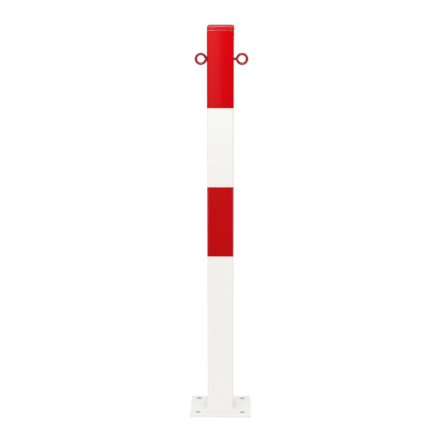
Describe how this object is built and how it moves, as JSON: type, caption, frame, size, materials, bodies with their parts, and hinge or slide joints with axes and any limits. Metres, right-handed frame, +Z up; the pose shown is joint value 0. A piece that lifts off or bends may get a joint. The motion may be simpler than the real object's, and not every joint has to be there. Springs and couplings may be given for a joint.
{
  "type": "barrier post",
  "caption": "Fixed square tube barrier post, white with red bands, on a welded base plate with anchor holes, with a plug cap and round wire eyes for a chain.",
  "frame": {"origin": "middle of the base plate's underside, on the ground", "axes": "+Z up along the tube, +X towards the right eye bolt, +Y towards the back"},
  "size_m": [0.163, 0.163, 1.042],
  "materials": {
    "white_coat": "satin powder coat",
    "red_coat": "gloss red coat",
    "red_plastic": "moulded, satin",
    "red_wire": "red coat over bent wire",
    "bare_steel": "plain zinc-free steel"
  },
  "bodies": {
    "root": {"post_tube": "white_coat", "base_plate": "white_coat", "foot_weld": "white_coat", "end_cap": "red_plastic", "upper_band": "red_coat", "lower_band": "red_coat", "left_eye_bolt": "red_wire", "right_eye_bolt": "red_wire", "left_weld_nut": "bare_steel", "right_weld_nut": "bare_steel"}
  },
  "joints": []
}
